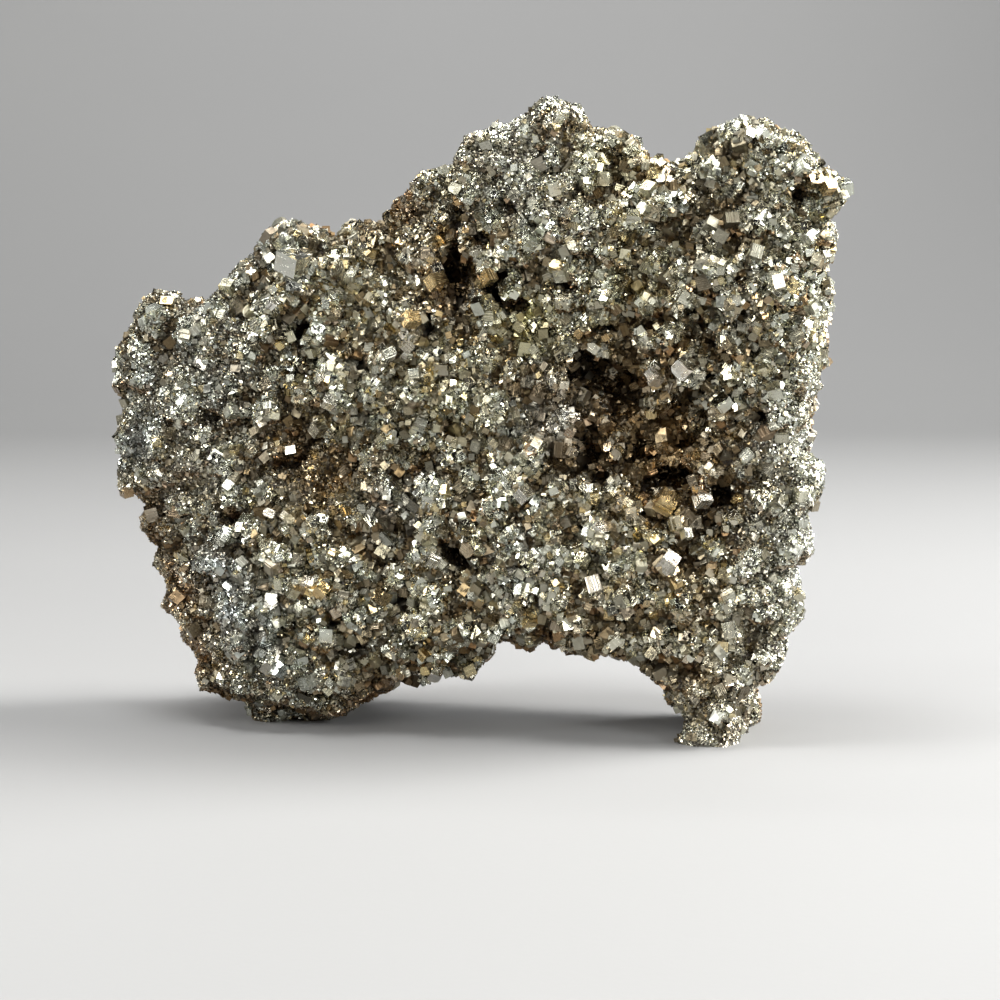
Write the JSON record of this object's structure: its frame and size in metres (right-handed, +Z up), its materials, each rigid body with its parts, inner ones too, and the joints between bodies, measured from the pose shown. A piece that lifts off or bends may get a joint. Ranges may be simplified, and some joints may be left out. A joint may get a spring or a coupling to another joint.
{
  "type": "pyrite cluster",
  "caption": "Upright slab of grown-together pyrite crystals with a stepped crest, a deep hollow in its face and an arch under it, standing on a wide left base and a narrow right leg.",
  "frame": {"origin": "middle of the bounding box in plan, at the height of the flats it stands on", "axes": "+X to the right along the cluster as it is seen from its sparkling face, +Y away from the viewer to the back, +Z up; the slab itself is turned 11 degrees about Z, its right end nearer the viewer"},
  "size_m": [0.108, 0.052, 0.0934],
  "materials": {
    "pyrite": "natural pyrite, metallic crystal faces"
  },
  "bodies": {
    "root": {"pyrite_cluster": "pyrite"}
  },
  "joints": []
}
